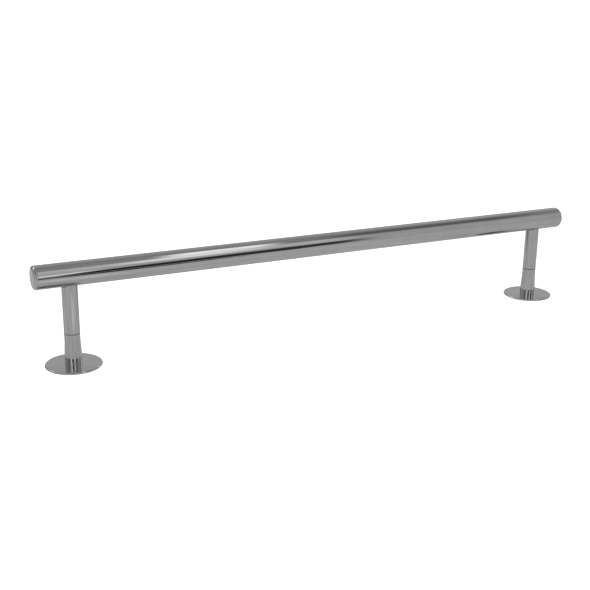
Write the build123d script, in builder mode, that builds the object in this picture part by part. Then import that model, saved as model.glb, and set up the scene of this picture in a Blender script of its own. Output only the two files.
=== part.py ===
"""Grab rail: a round tube carried on two screwed posts, each on a flat round deck flange.

Units are millimetres. +X runs along the rail, +Y away from the hand, +Z up. The origin is on
the mounting plane, midway between the two posts. The right and left halves are alike, so every
piece of a support is a function of the support's side and its place along X.
"""

from build123d import *
from math import radians, tan
import os

# ---------------------------------------------------------------- driving dimensions
# Rail
RAIL_DIAMETER = 25.4
RAIL_WALL = 1.5
RAIL_AXIS_HEIGHT = 100.0        # mounting plane to the tube's axis
POST_SPACING = 600.0            # post axis to post axis
END_OVERHANG = 38.0             # post axis to the outer face of the end cap

# End caps
CAP_HEAD_LENGTH = 4.6           # the part that shows beyond the tube
CAP_EDGE_RADIUS = 3.5
CAP_SPIGOT_LENGTH = 14.0
CAP_SPIGOT_WALL = 3.0
CAP_SEAM_BREAK = 0.15           # broken edge where the cap meets the tube

# O-rings of the end caps and the post joints
SEAL_CORD = 1.5
SEAL_SQUEEZE = 0.2              # how much of the cord is squeezed

# Posts
POST_DIAMETER = 16.7
JOINT_HEIGHT = 36.0             # mounting plane to the joint between the two halves of a post
JOINT_CHAMFER = 0.4             # each side of the joint line
SPIGOT_LENGTH = 20.0            # from the joint up into the upper post
SPIGOT_LEAD = 1.0               # chamfer at the top of the spigot
SPIGOT_ROOM = 1.0               # free space between the spigot and the head of the rail screw
BORE_LEAD = 0.3                 # chamfer at the mouth of the upper post's bore
JOINT_SEAL_OFFSET = 2.5         # joint line to the seal's groove
FOOT_DIAMETER = 18.4
FOOT_STRAIGHT = 10.0            # straight part of the foot above the flange
FOOT_TAPER_LENGTH = 15.0
FOOT_BLEND_RADIUS = 60.0        # softens both ends of the foot's taper

# Deck flange and gasket
FLANGE_DIAMETER = 60.0
FLANGE_THICKNESS = 2.0
FLANGE_EDGE_BEVEL = 0.5
FLANGE_NECK_DIAMETER = 14.0     # lower spigot of the base post, through the flange
GASKET_THICKNESS = 0.8
GASKET_OUTER_MARGIN = 3.0       # flange rim left around the gasket's recess
GASKET_INNER_MARGIN = 3.0       # flange left around the neck

# Deck stud socket, M8, modelled at its tapping size
STUD_TAP_DIAMETER = 6.8
STUD_DEPTH = 20.0
STUD_MOUTH_CHAMFER = 0.7
DRILL_POINT_ANGLE = 118.0

# Rail screw, M6 socket head cap, with its spring washer
RAIL_SCREW_DIAMETER = 6.0
RAIL_SCREW_HEAD_DIAMETER = 10.0
RAIL_SCREW_HEAD_HEIGHT = 6.0
RAIL_SCREW_KEY = 5.0
RAIL_SCREW_KEY_DEPTH = 3.0
RAIL_SCREW_HOLE = 6.4
HEAD_EDGE_RADIUS = 0.6
SCREW_TIP_CHAMFER = 0.7
WASHER_OUTER_DIAMETER = 9.9
WASHER_THICKNESS = 1.6
WASHER_SLIT = 1.0
WASHER_BORE_CLEARANCE = 0.2

# Saddle nut inside the tube
NUT_LENGTH = 20.0
NUT_WIDTH = 13.0
NUT_HEIGHT = 8.0
SCREW_TIP_PROUD = 1.2           # screw tip beyond the nut's flat back

# Grub screw, M4, at the back of each post
GRUB_DIAMETER = 4.0
GRUB_HEIGHT_OVER_JOINT = 12.0
GRUB_KEY = 2.0
GRUB_KEY_DEPTH = 1.3
GRUB_SUNK = 0.4                 # outer end below the post's surface
GRUB_GROOVE_DEPTH = 1.0
GRUB_GROOVE_FLOOR = 2.6
GRUB_POINT = 0.8                # chamfer at the grub screw's tip

# Clearances, radial or face to face
SLIDE_CLEARANCE = 0.05          # spigots, necks and seals
SEAT_CLEARANCE = 0.03           # curved seats against the tube
THREAD_CLEARANCE = 0.05         # threads stand as plain cylinders
FACE_CLEARANCE = 0.02           # seals and screw points against the faces that they bear on
HEAD_CLEARANCE = 1.0            # around the head of the rail screw

# ---------------------------------------------------------------- derived sizes
RAIL_RADIUS = RAIL_DIAMETER / 2
RAIL_BORE_RADIUS = RAIL_RADIUS - RAIL_WALL
RAIL_HALF_LENGTH = POST_SPACING / 2 + END_OVERHANG - CAP_HEAD_LENGTH
RAIL_UNDERSIDE = RAIL_AXIS_HEIGHT - RAIL_RADIUS

CAP_SPIGOT_RADIUS = RAIL_BORE_RADIUS - SLIDE_CLEARANCE
SEAL_SECTION = SEAL_CORD - SEAL_SQUEEZE
SEAL_GROOVE_WIDTH = SEAL_CORD + 2 * SLIDE_CLEARANCE

POST_RADIUS = POST_DIAMETER / 2
POST_BORE_RADIUS = RAIL_SCREW_HEAD_DIAMETER / 2 + HEAD_CLEARANCE
SPIGOT_RADIUS = POST_BORE_RADIUS - SLIDE_CLEARANCE
SPIGOT_TOP = JOINT_HEIGHT + SPIGOT_LENGTH
FOOT_RADIUS = FOOT_DIAMETER / 2
NECK_RADIUS = FLANGE_NECK_DIAMETER / 2
JOINT_GROOVE_FLOOR = POST_BORE_RADIUS - 2 * FACE_CLEARANCE - SEAL_SECTION
GASKET_OUTER_RADIUS = FLANGE_DIAMETER / 2 - GASKET_OUTER_MARGIN
GASKET_INNER_RADIUS = NECK_RADIUS + GASKET_INNER_MARGIN

HEAD_UNDERSIDE = SPIGOT_TOP + SPIGOT_ROOM
SCREW_SEAT = HEAD_UNDERSIDE + RAIL_SCREW_HEAD_HEIGHT
WEB_HEIGHT = SCREW_SEAT + WASHER_THICKNESS
NUT_BACK = RAIL_AXIS_HEIGHT - RAIL_BORE_RADIUS + NUT_HEIGHT
SCREW_TIP = NUT_BACK + SCREW_TIP_PROUD

GRUB_HEIGHT = JOINT_HEIGHT + GRUB_HEIGHT_OVER_JOINT
GROOVE_FLOOR_RADIUS = SPIGOT_RADIUS - GRUB_GROOVE_DEPTH
GROOVE_MOUTH = GRUB_GROOVE_FLOOR + 2 * GRUB_GROOVE_DEPTH

SUPPORTS = (("left", -POST_SPACING / 2), ("right", POST_SPACING / 2))
ENDS = (("left", -1), ("right", 1))


# ---------------------------------------------------------------- reference planes
def upright_section(x: float) -> Plane:
    """The half-section plane of a support: local X is the radius, local Y the height."""
    return Plane(origin=(x, 0, 0), x_dir=(1, 0, 0), z_dir=(0, -1, 0))


def upright_axis(x: float) -> Axis:
    """The vertical axis of a support."""
    return Axis((x, 0, 0), (0, 0, 1))


def across_rail(x: float) -> Plane:
    """The plane across the rail at x, with its normal along +X and its origin on the rail's axis."""
    return Plane(origin=(x, 0, RAIL_AXIS_HEIGHT), x_dir=(0, 1, 0), z_dir=(1, 0, 0))


def end_section(outwards: int) -> Plane:
    """The half-section plane of a rail end: local X points out of the tube, local Y is the radius."""
    end_x = outwards * RAIL_HALF_LENGTH
    return Plane(origin=(end_x, 0, RAIL_AXIS_HEIGHT), x_dir=(outwards, 0, 0), z_dir=(0, -outwards, 0))


def grub_plane(x: float) -> Plane:
    """The plane through a support's axis with its normal along the grub screw, towards the back."""
    return Plane(origin=(x, 0, GRUB_HEIGHT), x_dir=(1, 0, 0), z_dir=(0, 1, 0))


RAIL_AXIS = Axis((0, 0, RAIL_AXIS_HEIGHT), (1, 0, 0))


# ---------------------------------------------------------------- rail
def make_rail_tube() -> None:
    """The tube: open at both ends, with one screw hole in its underside over each post."""
    with BuildPart() as rail_tube:
        with BuildSketch(across_rail(0)):
            Circle(RAIL_RADIUS)
            Circle(RAIL_BORE_RADIUS, mode=Mode.SUBTRACT)
        extrude(amount=RAIL_HALF_LENGTH, both=True)
        for _, x in SUPPORTS:
            with BuildSketch(Plane.XY.offset(RAIL_UNDERSIDE - 1)) as screw_hole:
                with Locations((x, 0)):
                    Circle(RAIL_SCREW_HOLE / 2)
            extrude(amount=RAIL_WALL + 3, mode=Mode.SUBTRACT)
    rail_tube.part.label = "rail_tube"
    export_step(rail_tube.part, "parts/rail_tube.step")


def make_end_cap(side: str, outwards: int) -> None:
    """A turned cap: a head with a well rounded rim, and a hollow spigot with a seal groove."""
    groove_start = -CAP_SPIGOT_LENGTH / 2
    groove_floor = RAIL_BORE_RADIUS - 2 * FACE_CLEARANCE - SEAL_SECTION
    pocket_radius = groove_floor - CAP_SPIGOT_WALL
    with BuildPart() as end_cap:
        with BuildSketch(end_section(outwards)):
            with BuildLine():
                Polyline(
                    (0, 0),
                    (CAP_HEAD_LENGTH, 0),
                    (CAP_HEAD_LENGTH, RAIL_RADIUS),
                    (0, RAIL_RADIUS),
                    (0, CAP_SPIGOT_RADIUS),
                    (groove_start, CAP_SPIGOT_RADIUS),
                    (groove_start, groove_floor),
                    (groove_start - SEAL_GROOVE_WIDTH, groove_floor),
                    (groove_start - SEAL_GROOVE_WIDTH, CAP_SPIGOT_RADIUS),
                    (-CAP_SPIGOT_LENGTH, CAP_SPIGOT_RADIUS),
                    (-CAP_SPIGOT_LENGTH, pocket_radius),
                    (0, pocket_radius),
                    (0, 0),
                )
            make_face()
        revolve(axis=RAIL_AXIS)
        rims = end_cap.edges().filter_by(GeomType.CIRCLE).filter_by(lambda e: abs(e.radius - RAIL_RADIUS) < 1e-6)
        by_reach = rims.sort_by(lambda e: outwards * e.center().X)
        fillet(by_reach[-1], CAP_EDGE_RADIUS)
        seam = end_cap.edges().filter_by(GeomType.CIRCLE).filter_by(lambda e: abs(e.radius - RAIL_RADIUS) < 1e-6)
        chamfer(seam.sort_by(lambda e: outwards * e.center().X)[0], CAP_SEAM_BREAK)
    end_cap.part.label = f"{side}_end_cap"
    export_step(end_cap.part, f"parts/{side}_end_cap.step")


def make_cap_seal(side: str, outwards: int) -> None:
    """The O-ring in an end cap's groove, squeezed against the tube's bore."""
    middle = -CAP_SPIGOT_LENGTH / 2 - SEAL_GROOVE_WIDTH / 2
    with BuildPart() as cap_seal:
        with BuildSketch(end_section(outwards)):
            with Locations((middle, RAIL_BORE_RADIUS - SEAL_SECTION / 2 - FACE_CLEARANCE)):
                Circle(SEAL_SECTION / 2)
        revolve(axis=RAIL_AXIS)
    cap_seal.part.label = f"{side}_cap_seal"
    export_step(cap_seal.part, f"parts/{side}_cap_seal.step")


# ---------------------------------------------------------------- supports
def make_deck_gasket(side: str, x: float) -> None:
    """The flat gasket, in its recess under the flange."""
    with BuildPart() as deck_gasket:
        with BuildSketch(Plane.XY):
            with Locations((x, 0)):
                Circle(GASKET_OUTER_RADIUS - SLIDE_CLEARANCE)
                Circle(GASKET_INNER_RADIUS + SLIDE_CLEARANCE, mode=Mode.SUBTRACT)
        extrude(amount=GASKET_THICKNESS)
    deck_gasket.part.label = f"{side}_deck_gasket"
    export_step(deck_gasket.part, f"parts/{side}_deck_gasket.step")


def make_deck_flange(side: str, x: float) -> None:
    """The round deck plate: bevelled rim, centre hole for the neck, recess for the gasket."""
    with BuildPart() as deck_flange:
        with BuildSketch(Plane.XY):
            with Locations((x, 0)):
                Circle(FLANGE_DIAMETER / 2)
                Circle(NECK_RADIUS + SLIDE_CLEARANCE, mode=Mode.SUBTRACT)
        extrude(amount=FLANGE_THICKNESS)
        with BuildSketch(Plane.XY):
            with Locations((x, 0)):
                Circle(GASKET_OUTER_RADIUS)
                Circle(GASKET_INNER_RADIUS, mode=Mode.SUBTRACT)
        extrude(amount=GASKET_THICKNESS, mode=Mode.SUBTRACT)
        top_rims = deck_flange.edges().filter_by(GeomType.CIRCLE).group_by(Axis.Z)[-1]
        chamfer(top_rims.sort_by(SortBy.RADIUS)[-1], FLANGE_EDGE_BEVEL)
    deck_flange.part.label = f"{side}_deck_flange"
    export_step(deck_flange.part, f"parts/{side}_deck_flange.step")


def make_base_post(side: str, x: float) -> None:
    """The lower half of a post: neck, foot, joint shoulder and spigot, tapped from below."""
    tap_radius = STUD_TAP_DIAMETER / 2
    point_depth = tap_radius / tan(radians(DRILL_POINT_ANGLE / 2))
    foot_top = FLANGE_THICKNESS + FOOT_STRAIGHT
    groove_low = GRUB_HEIGHT - GROOVE_MOUTH / 2
    seal_low = JOINT_HEIGHT + JOINT_SEAL_OFFSET
    with BuildPart() as base_post:
        with BuildSketch(upright_section(x)) as profile:
            with BuildLine():
                Polyline(
                    (0, 0),
                    (NECK_RADIUS, 0),
                    (NECK_RADIUS, FLANGE_THICKNESS),
                    (FOOT_RADIUS, FLANGE_THICKNESS),
                    (FOOT_RADIUS, foot_top),
                    (POST_RADIUS, foot_top + FOOT_TAPER_LENGTH),
                    (POST_RADIUS, JOINT_HEIGHT - JOINT_CHAMFER),
                    (POST_RADIUS - JOINT_CHAMFER, JOINT_HEIGHT),
                    (SPIGOT_RADIUS, JOINT_HEIGHT),
                    (SPIGOT_RADIUS, seal_low),
                    (JOINT_GROOVE_FLOOR, seal_low),
                    (JOINT_GROOVE_FLOOR, seal_low + SEAL_GROOVE_WIDTH),
                    (SPIGOT_RADIUS, seal_low + SEAL_GROOVE_WIDTH),
                    (SPIGOT_RADIUS, groove_low),
                    (GROOVE_FLOOR_RADIUS, groove_low + GRUB_GROOVE_DEPTH),
                    (GROOVE_FLOOR_RADIUS, groove_low + GRUB_GROOVE_DEPTH + GRUB_GROOVE_FLOOR),
                    (SPIGOT_RADIUS, groove_low + GROOVE_MOUTH),
                    (SPIGOT_RADIUS, SPIGOT_TOP - SPIGOT_LEAD),
                    (SPIGOT_RADIUS - SPIGOT_LEAD, SPIGOT_TOP),
                    (0, SPIGOT_TOP),
                    (0, 0),
                )
            make_face()
            taper_ends = profile.vertices().filter_by(
                lambda v: FLANGE_THICKNESS + 0.1 < v.Z < JOINT_HEIGHT - JOINT_CHAMFER - 0.1
            )
            fillet(taper_ends, FOOT_BLEND_RADIUS)
        revolve(axis=upright_axis(x))
        with BuildSketch(upright_section(x)):
            with BuildLine():
                Polyline(
                    (0, 0),
                    (tap_radius + STUD_MOUTH_CHAMFER, 0),
                    (tap_radius, STUD_MOUTH_CHAMFER),
                    (tap_radius, STUD_DEPTH),
                    (0, STUD_DEPTH + point_depth),
                    (0, 0),
                )
            make_face()
        revolve(axis=upright_axis(x), mode=Mode.SUBTRACT)
    base_post.part.label = f"{side}_base_post"
    export_step(base_post.part, f"parts/{side}_base_post.step")


def make_joint_seal(side: str, x: float) -> None:
    """The O-ring on the base post's spigot, just above the joint line."""
    middle = JOINT_HEIGHT + JOINT_SEAL_OFFSET + SEAL_GROOVE_WIDTH / 2
    with BuildPart() as joint_seal:
        with BuildSketch(upright_section(x)):
            with Locations((POST_BORE_RADIUS - SEAL_SECTION / 2 - FACE_CLEARANCE, middle)):
                Circle(SEAL_SECTION / 2)
        revolve(axis=upright_axis(x))
    joint_seal.part.label = f"{side}_joint_seal"
    export_step(joint_seal.part, f"parts/{side}_joint_seal.step")


def make_upper_post(side: str, x: float) -> None:
    """The upper half of a post: bored from below, with a web for the rail screw and a coped top."""
    with BuildPart() as upper_post:
        with BuildSketch(Plane.XY.offset(JOINT_HEIGHT)):
            with Locations((x, 0)):
                Circle(POST_RADIUS)
        extrude(amount=RAIL_AXIS_HEIGHT - JOINT_HEIGHT)
        with BuildSketch(across_rail(x)):
            Circle(RAIL_RADIUS + SEAT_CLEARANCE)
        extrude(amount=POST_DIAMETER, both=True, mode=Mode.SUBTRACT)
        with BuildSketch(Plane.XY.offset(JOINT_HEIGHT)):
            with Locations((x, 0)):
                Circle(POST_BORE_RADIUS)
        extrude(amount=WEB_HEIGHT - JOINT_HEIGHT, mode=Mode.SUBTRACT)
        with BuildSketch(Plane.XY.offset(WEB_HEIGHT)):
            with Locations((x, 0)):
                Circle(RAIL_SCREW_HOLE / 2)
        extrude(amount=RAIL_AXIS_HEIGHT - WEB_HEIGHT, mode=Mode.SUBTRACT)
        with BuildSketch(grub_plane(x)):
            Circle(GRUB_DIAMETER / 2 + THREAD_CLEARANCE)
        extrude(amount=POST_DIAMETER, mode=Mode.SUBTRACT)
        low_rims = upper_post.edges().filter_by(GeomType.CIRCLE).group_by(Axis.Z)[0].sort_by(SortBy.RADIUS)
        chamfer(low_rims[-1], JOINT_CHAMFER)
        chamfer(low_rims[0], BORE_LEAD)
    upper_post.part.label = f"{side}_upper_post"
    export_step(upper_post.part, f"parts/{side}_upper_post.step")


def make_grub_screw(side: str, x: float) -> None:
    """The M4 grub screw at the back, with a hexagon socket, bearing in the spigot's groove."""
    tip = GROOVE_FLOOR_RADIUS + FACE_CLEARANCE
    outer_end = POST_RADIUS - GRUB_SUNK
    with BuildPart() as grub_screw:
        with BuildSketch(grub_plane(x).offset(tip)):
            Circle(GRUB_DIAMETER / 2)
        extrude(amount=outer_end - tip)
        ends = grub_screw.edges().filter_by(GeomType.CIRCLE).sort_by(Axis.Y)
        chamfer(ends[0], GRUB_POINT)
        with BuildSketch(grub_plane(x).offset(outer_end)):
            RegularPolygon(GRUB_KEY / 2, 6, major_radius=False)
        extrude(amount=-GRUB_KEY_DEPTH, mode=Mode.SUBTRACT)
    grub_screw.part.label = f"{side}_grub_screw"
    export_step(grub_screw.part, f"parts/{side}_grub_screw.step")


def make_rail_screw(side: str, x: float) -> None:
    """The M6 socket head screw, up through the web and the tube's wall into the saddle nut."""
    with BuildPart() as rail_screw:
        with BuildSketch(Plane.XY.offset(HEAD_UNDERSIDE)):
            with Locations((x, 0)):
                Circle(RAIL_SCREW_HEAD_DIAMETER / 2)
        extrude(amount=RAIL_SCREW_HEAD_HEIGHT)
        head_rims = rail_screw.edges().filter_by(GeomType.CIRCLE).group_by(Axis.Z)
        fillet(head_rims[0], HEAD_EDGE_RADIUS)
        with BuildSketch(Plane.XY.offset(SCREW_SEAT)):
            with Locations((x, 0)):
                Circle(RAIL_SCREW_DIAMETER / 2)
        extrude(amount=SCREW_TIP - SCREW_SEAT)
        tip_rim = rail_screw.edges().filter_by(GeomType.CIRCLE).group_by(Axis.Z)[-1]
        chamfer(tip_rim, SCREW_TIP_CHAMFER)
        with BuildSketch(Plane.XY.offset(HEAD_UNDERSIDE)):
            with Locations((x, 0)):
                RegularPolygon(RAIL_SCREW_KEY / 2, 6, major_radius=False)
        extrude(amount=RAIL_SCREW_KEY_DEPTH, mode=Mode.SUBTRACT)
    rail_screw.part.label = f"{side}_rail_screw"
    export_step(rail_screw.part, f"parts/{side}_rail_screw.step")


def make_spring_washer(side: str, x: float) -> None:
    """The split spring washer between the rail screw's head and the web."""
    with BuildPart() as spring_washer:
        with BuildSketch(Plane.XY.offset(SCREW_SEAT)):
            with Locations((x, 0)):
                Circle(WASHER_OUTER_DIAMETER / 2)
                Circle(RAIL_SCREW_DIAMETER / 2 + WASHER_BORE_CLEARANCE, mode=Mode.SUBTRACT)
        extrude(amount=WASHER_THICKNESS)
        with BuildSketch(Plane.XY.offset(SCREW_SEAT)):
            with Locations((x, WASHER_OUTER_DIAMETER / 2)):
                Rectangle(WASHER_SLIT, WASHER_OUTER_DIAMETER)
        extrude(amount=WASHER_THICKNESS, mode=Mode.SUBTRACT)
    spring_washer.part.label = f"{side}_spring_washer"
    export_step(spring_washer.part, f"parts/{side}_spring_washer.step")


def make_saddle_nut(side: str, x: float) -> None:
    """The nut block inside the tube: round below to sit in the bore, flat above, tapped M6."""
    flat_back = NUT_BACK - RAIL_AXIS_HEIGHT
    with BuildPart() as saddle_nut:
        with BuildSketch(across_rail(x)):
            Circle(RAIL_BORE_RADIUS - SEAT_CLEARANCE)
            with Locations((0, flat_back)):
                Rectangle(NUT_WIDTH, 2 * RAIL_DIAMETER, align=(Align.CENTER, Align.MAX), mode=Mode.INTERSECT)
        extrude(amount=NUT_LENGTH / 2, both=True)
        with BuildSketch(Plane.XY.offset(RAIL_UNDERSIDE)):
            with Locations((x, 0)):
                Circle(RAIL_SCREW_DIAMETER / 2 + THREAD_CLEARANCE)
        extrude(amount=RAIL_DIAMETER, mode=Mode.SUBTRACT)
    saddle_nut.part.label = f"{side}_saddle_nut"
    export_step(saddle_nut.part, f"parts/{side}_saddle_nut.step")


# ---------------------------------------------------------------- the whole rail
os.makedirs("parts", exist_ok=True)

make_rail_tube()
for side_name, outward_sign in ENDS:
    make_end_cap(side_name, outward_sign)
    make_cap_seal(side_name, outward_sign)
for side_name, post_x in SUPPORTS:
    make_deck_gasket(side_name, post_x)
    make_deck_flange(side_name, post_x)
    make_base_post(side_name, post_x)
    make_joint_seal(side_name, post_x)
    make_upper_post(side_name, post_x)
    make_grub_screw(side_name, post_x)
    make_rail_screw(side_name, post_x)
    make_spring_washer(side_name, post_x)
    make_saddle_nut(side_name, post_x)
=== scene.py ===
"""Grab rail: the finished look of a polished stainless steel rail on two posts.

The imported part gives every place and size. This file builds each piece again as a fine turned
mesh, gives it its finish, and sets up a plain pale studio and the camera. Sizes are millimetres
in the classes and metres in the meshes. +X runs along the rail, +Y away from the hand, +Z up.
"""

import logging
import math
from collections.abc import Callable, Collection, Sequence
from dataclasses import dataclass, field
from enum import Enum
from functools import partial
from typing import Any

import bmesh
import bpy
from bpy.types import Material, NodeTree, Object
from mathutils import Matrix, Vector


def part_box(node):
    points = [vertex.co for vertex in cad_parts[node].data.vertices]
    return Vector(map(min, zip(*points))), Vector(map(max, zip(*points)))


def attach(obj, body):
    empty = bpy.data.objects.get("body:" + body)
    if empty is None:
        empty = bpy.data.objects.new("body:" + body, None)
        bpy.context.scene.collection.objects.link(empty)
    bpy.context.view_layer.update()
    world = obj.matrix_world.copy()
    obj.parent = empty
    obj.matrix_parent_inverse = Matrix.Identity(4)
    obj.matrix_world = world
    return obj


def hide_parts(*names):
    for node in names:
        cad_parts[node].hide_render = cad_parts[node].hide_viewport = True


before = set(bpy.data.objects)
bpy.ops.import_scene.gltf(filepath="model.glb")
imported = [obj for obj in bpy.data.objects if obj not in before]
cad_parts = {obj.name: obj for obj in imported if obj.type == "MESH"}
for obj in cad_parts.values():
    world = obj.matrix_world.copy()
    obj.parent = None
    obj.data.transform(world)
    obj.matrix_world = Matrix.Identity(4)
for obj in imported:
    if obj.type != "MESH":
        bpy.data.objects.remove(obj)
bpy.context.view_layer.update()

LOG = logging.getLogger("grab_rail")

MM = 0.001  # one millimetre in metres
BODY = "root"  # the rail is one rigid body
RAIL_HEIGHT = 100.0  # mm, the rail's axis over the deck
POST_DISTANCE = 300.0  # mm, each post's axis from the middle
WELD_DISTANCE = 2e-7  # metres: rings that meet are joined into one
CREASE_ANGLE = math.radians(24)  # edges sharper than this stay crisp
ARC_STEP = 7.5  # degrees between points on a rounded corner
FEWEST_ARC_STEPS = 3
SOFT = {"interpolation_type": "SMOOTHSTEP"}  # a mapping with soft ends

Number = float | Callable[[float], float]  # a size in mm, or a function from the turn to one
Adder = Callable[..., Any]  # add_node, held to one tree


class Slot(Enum):
    """The record's material slots."""

    POLISHED = "polished_steel"
    MACHINED = "machined_steel"
    RUBBER = "black_rubber"


class Lie(Enum):
    """How a turned piece lies: which of across, side and along runs on X, Y and Z."""

    ALONG_RAIL = (2, 1, 0)
    ACROSS = (0, 2, 1)
    UPRIGHT = (0, 1, 2)


# ---- colour and nodes
def linear(hex_colour: str) -> tuple[float, float, float, float]:
    """Turns an sRGB hex colour into linear RGBA.

    Args:
        hex_colour: The colour as "#RRGGBB".

    Returns:
        Linear red, green and blue, with alpha 1.
    """
    channels = []
    for start in (1, 3, 5):
        value = int(hex_colour[start:start + 2], 16) / 255
        channels.append(value / 12.92 if value <= 0.04045 else ((value + 0.055) / 1.055) ** 2.4)
    return (*channels, 1.0)


def add_node(tree: NodeTree, kind: str, inputs: Any = (), output: Any = 0, **settings: Any) -> Any:
    """Adds a node, sets its properties, and fills or links its inputs.

    Args:
        tree: The node tree that the node goes into.
        kind: The node's type without its "ShaderNode" prefix, then its operation if it has one.
        inputs: Values and sockets for its inputs, in order, or in a dict by name or number.
        output: The output that is handed back, or None for all of them.
        settings: Properties of the node by name.

    Returns:
        The output socket, or all of them where there is none to choose.
    """
    kind, *operation = kind.split()
    node = tree.nodes.new("ShaderNode" + kind)
    for name, value in [*settings.items(), *(("operation", value) for value in operation)]:
        setattr(node, name, value)
    for key, value in inputs.items() if isinstance(inputs, dict) else enumerate(inputs):
        if isinstance(value, bpy.types.NodeSocket):
            tree.links.new(value, node.inputs[key])
        else:
            node.inputs[key].default_value = value
    return node.outputs if output is None or not node.outputs else node.outputs[output]


def empty_tree(owner: Any) -> Adder:
    """Clears the nodes of a material or the world.

    Args:
        owner: The material or the world.

    Returns:
        add_node, held to its tree.
    """
    owner.use_nodes = True
    owner.node_tree.nodes.clear()
    return partial(add_node, owner.node_tree)


def new_material(name: str) -> tuple[Material, Adder]:
    """Makes a material with no nodes, and add_node for its tree."""
    made = bpy.data.materials.new(name)
    return made, empty_tree(made)


def lay_on(node: Adder, share: Any, colours: tuple[str, str], relief: dict[str, Any],
           shader: dict[str, Any]) -> None:
    """Lays two colours, the relief and the rest on the shader that ends a finish.

    Args:
        node: Adds a node to the material.
        share: How far the second colour shows.
        colours: Both colours.
        relief: The bump's height and strength.
        shader: The shader's other inputs.
    """
    tone = node("Mix", {0: share, 6: linear(colours[0]), 7: linear(colours[1])}, 2, data_type="RGBA")
    bump = node("Bump", {"Distance": 1.0, **relief})
    node("OutputMaterial", (node("BsdfPrincipled", {"Base Color": tone, "Normal": bump, **shader}),))


def lathe_places(node: Adder, lie: Lie) -> tuple[Any, Any]:
    """Works out where a point lies on its turned piece, in mm and radians.

    Args:
        node: Adds a node to the material.
        lie: Whether the piece was turned about the rail's axis or a post's.

    Returns:
        Vector sockets: along, radius and turn, and across, side and along.
    """
    point = node("TexCoord", output="Object")
    x, side, z = node("SeparateXYZ", (node("VectorMath MULTIPLY", (point, (1 / MM,) * 3)),), None)
    if lie is Lie.ALONG_RAIL:
        along, across = x, node("Math SUBTRACT", (z, RAIL_HEIGHT))
    else:
        off_middle = node("Math ABSOLUTE", (x,))
        along, across = z, node("Math SUBTRACT", (off_middle, POST_DISTANCE))
    radius = node("VectorMath LENGTH", (node("CombineXYZ", (across, side)),), "Value")
    turn = node("Math ARCTAN2", (side, across))
    return node("CombineXYZ", (along, radius, turn)), node("CombineXYZ", (across, side, along))


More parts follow.
